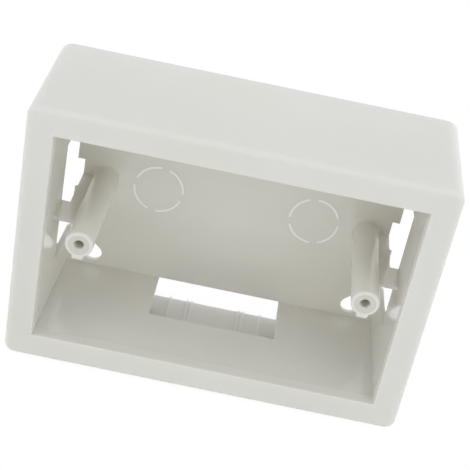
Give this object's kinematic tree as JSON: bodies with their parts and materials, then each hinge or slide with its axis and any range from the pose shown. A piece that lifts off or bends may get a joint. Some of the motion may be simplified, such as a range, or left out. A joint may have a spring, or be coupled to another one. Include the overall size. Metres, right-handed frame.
{
  "type": "surface mount box",
  "caption": "Shallow rectangular wall box for a one-gang cover plate, open at the front, with raceway entries, screw posts and round knockouts.",
  "frame": {"origin": "centre of the face that lies on the wall", "axes": "+X along the long side, +Z along the short side, -Y out of the open front, +Y into the wall"},
  "size_m": [0.1214, 0.0445, 0.084],
  "materials": {
    "white_plastic": "satin moulded white plastic"
  },
  "bodies": {
    "root": {"box_body": "white_plastic"}
  },
  "joints": []
}
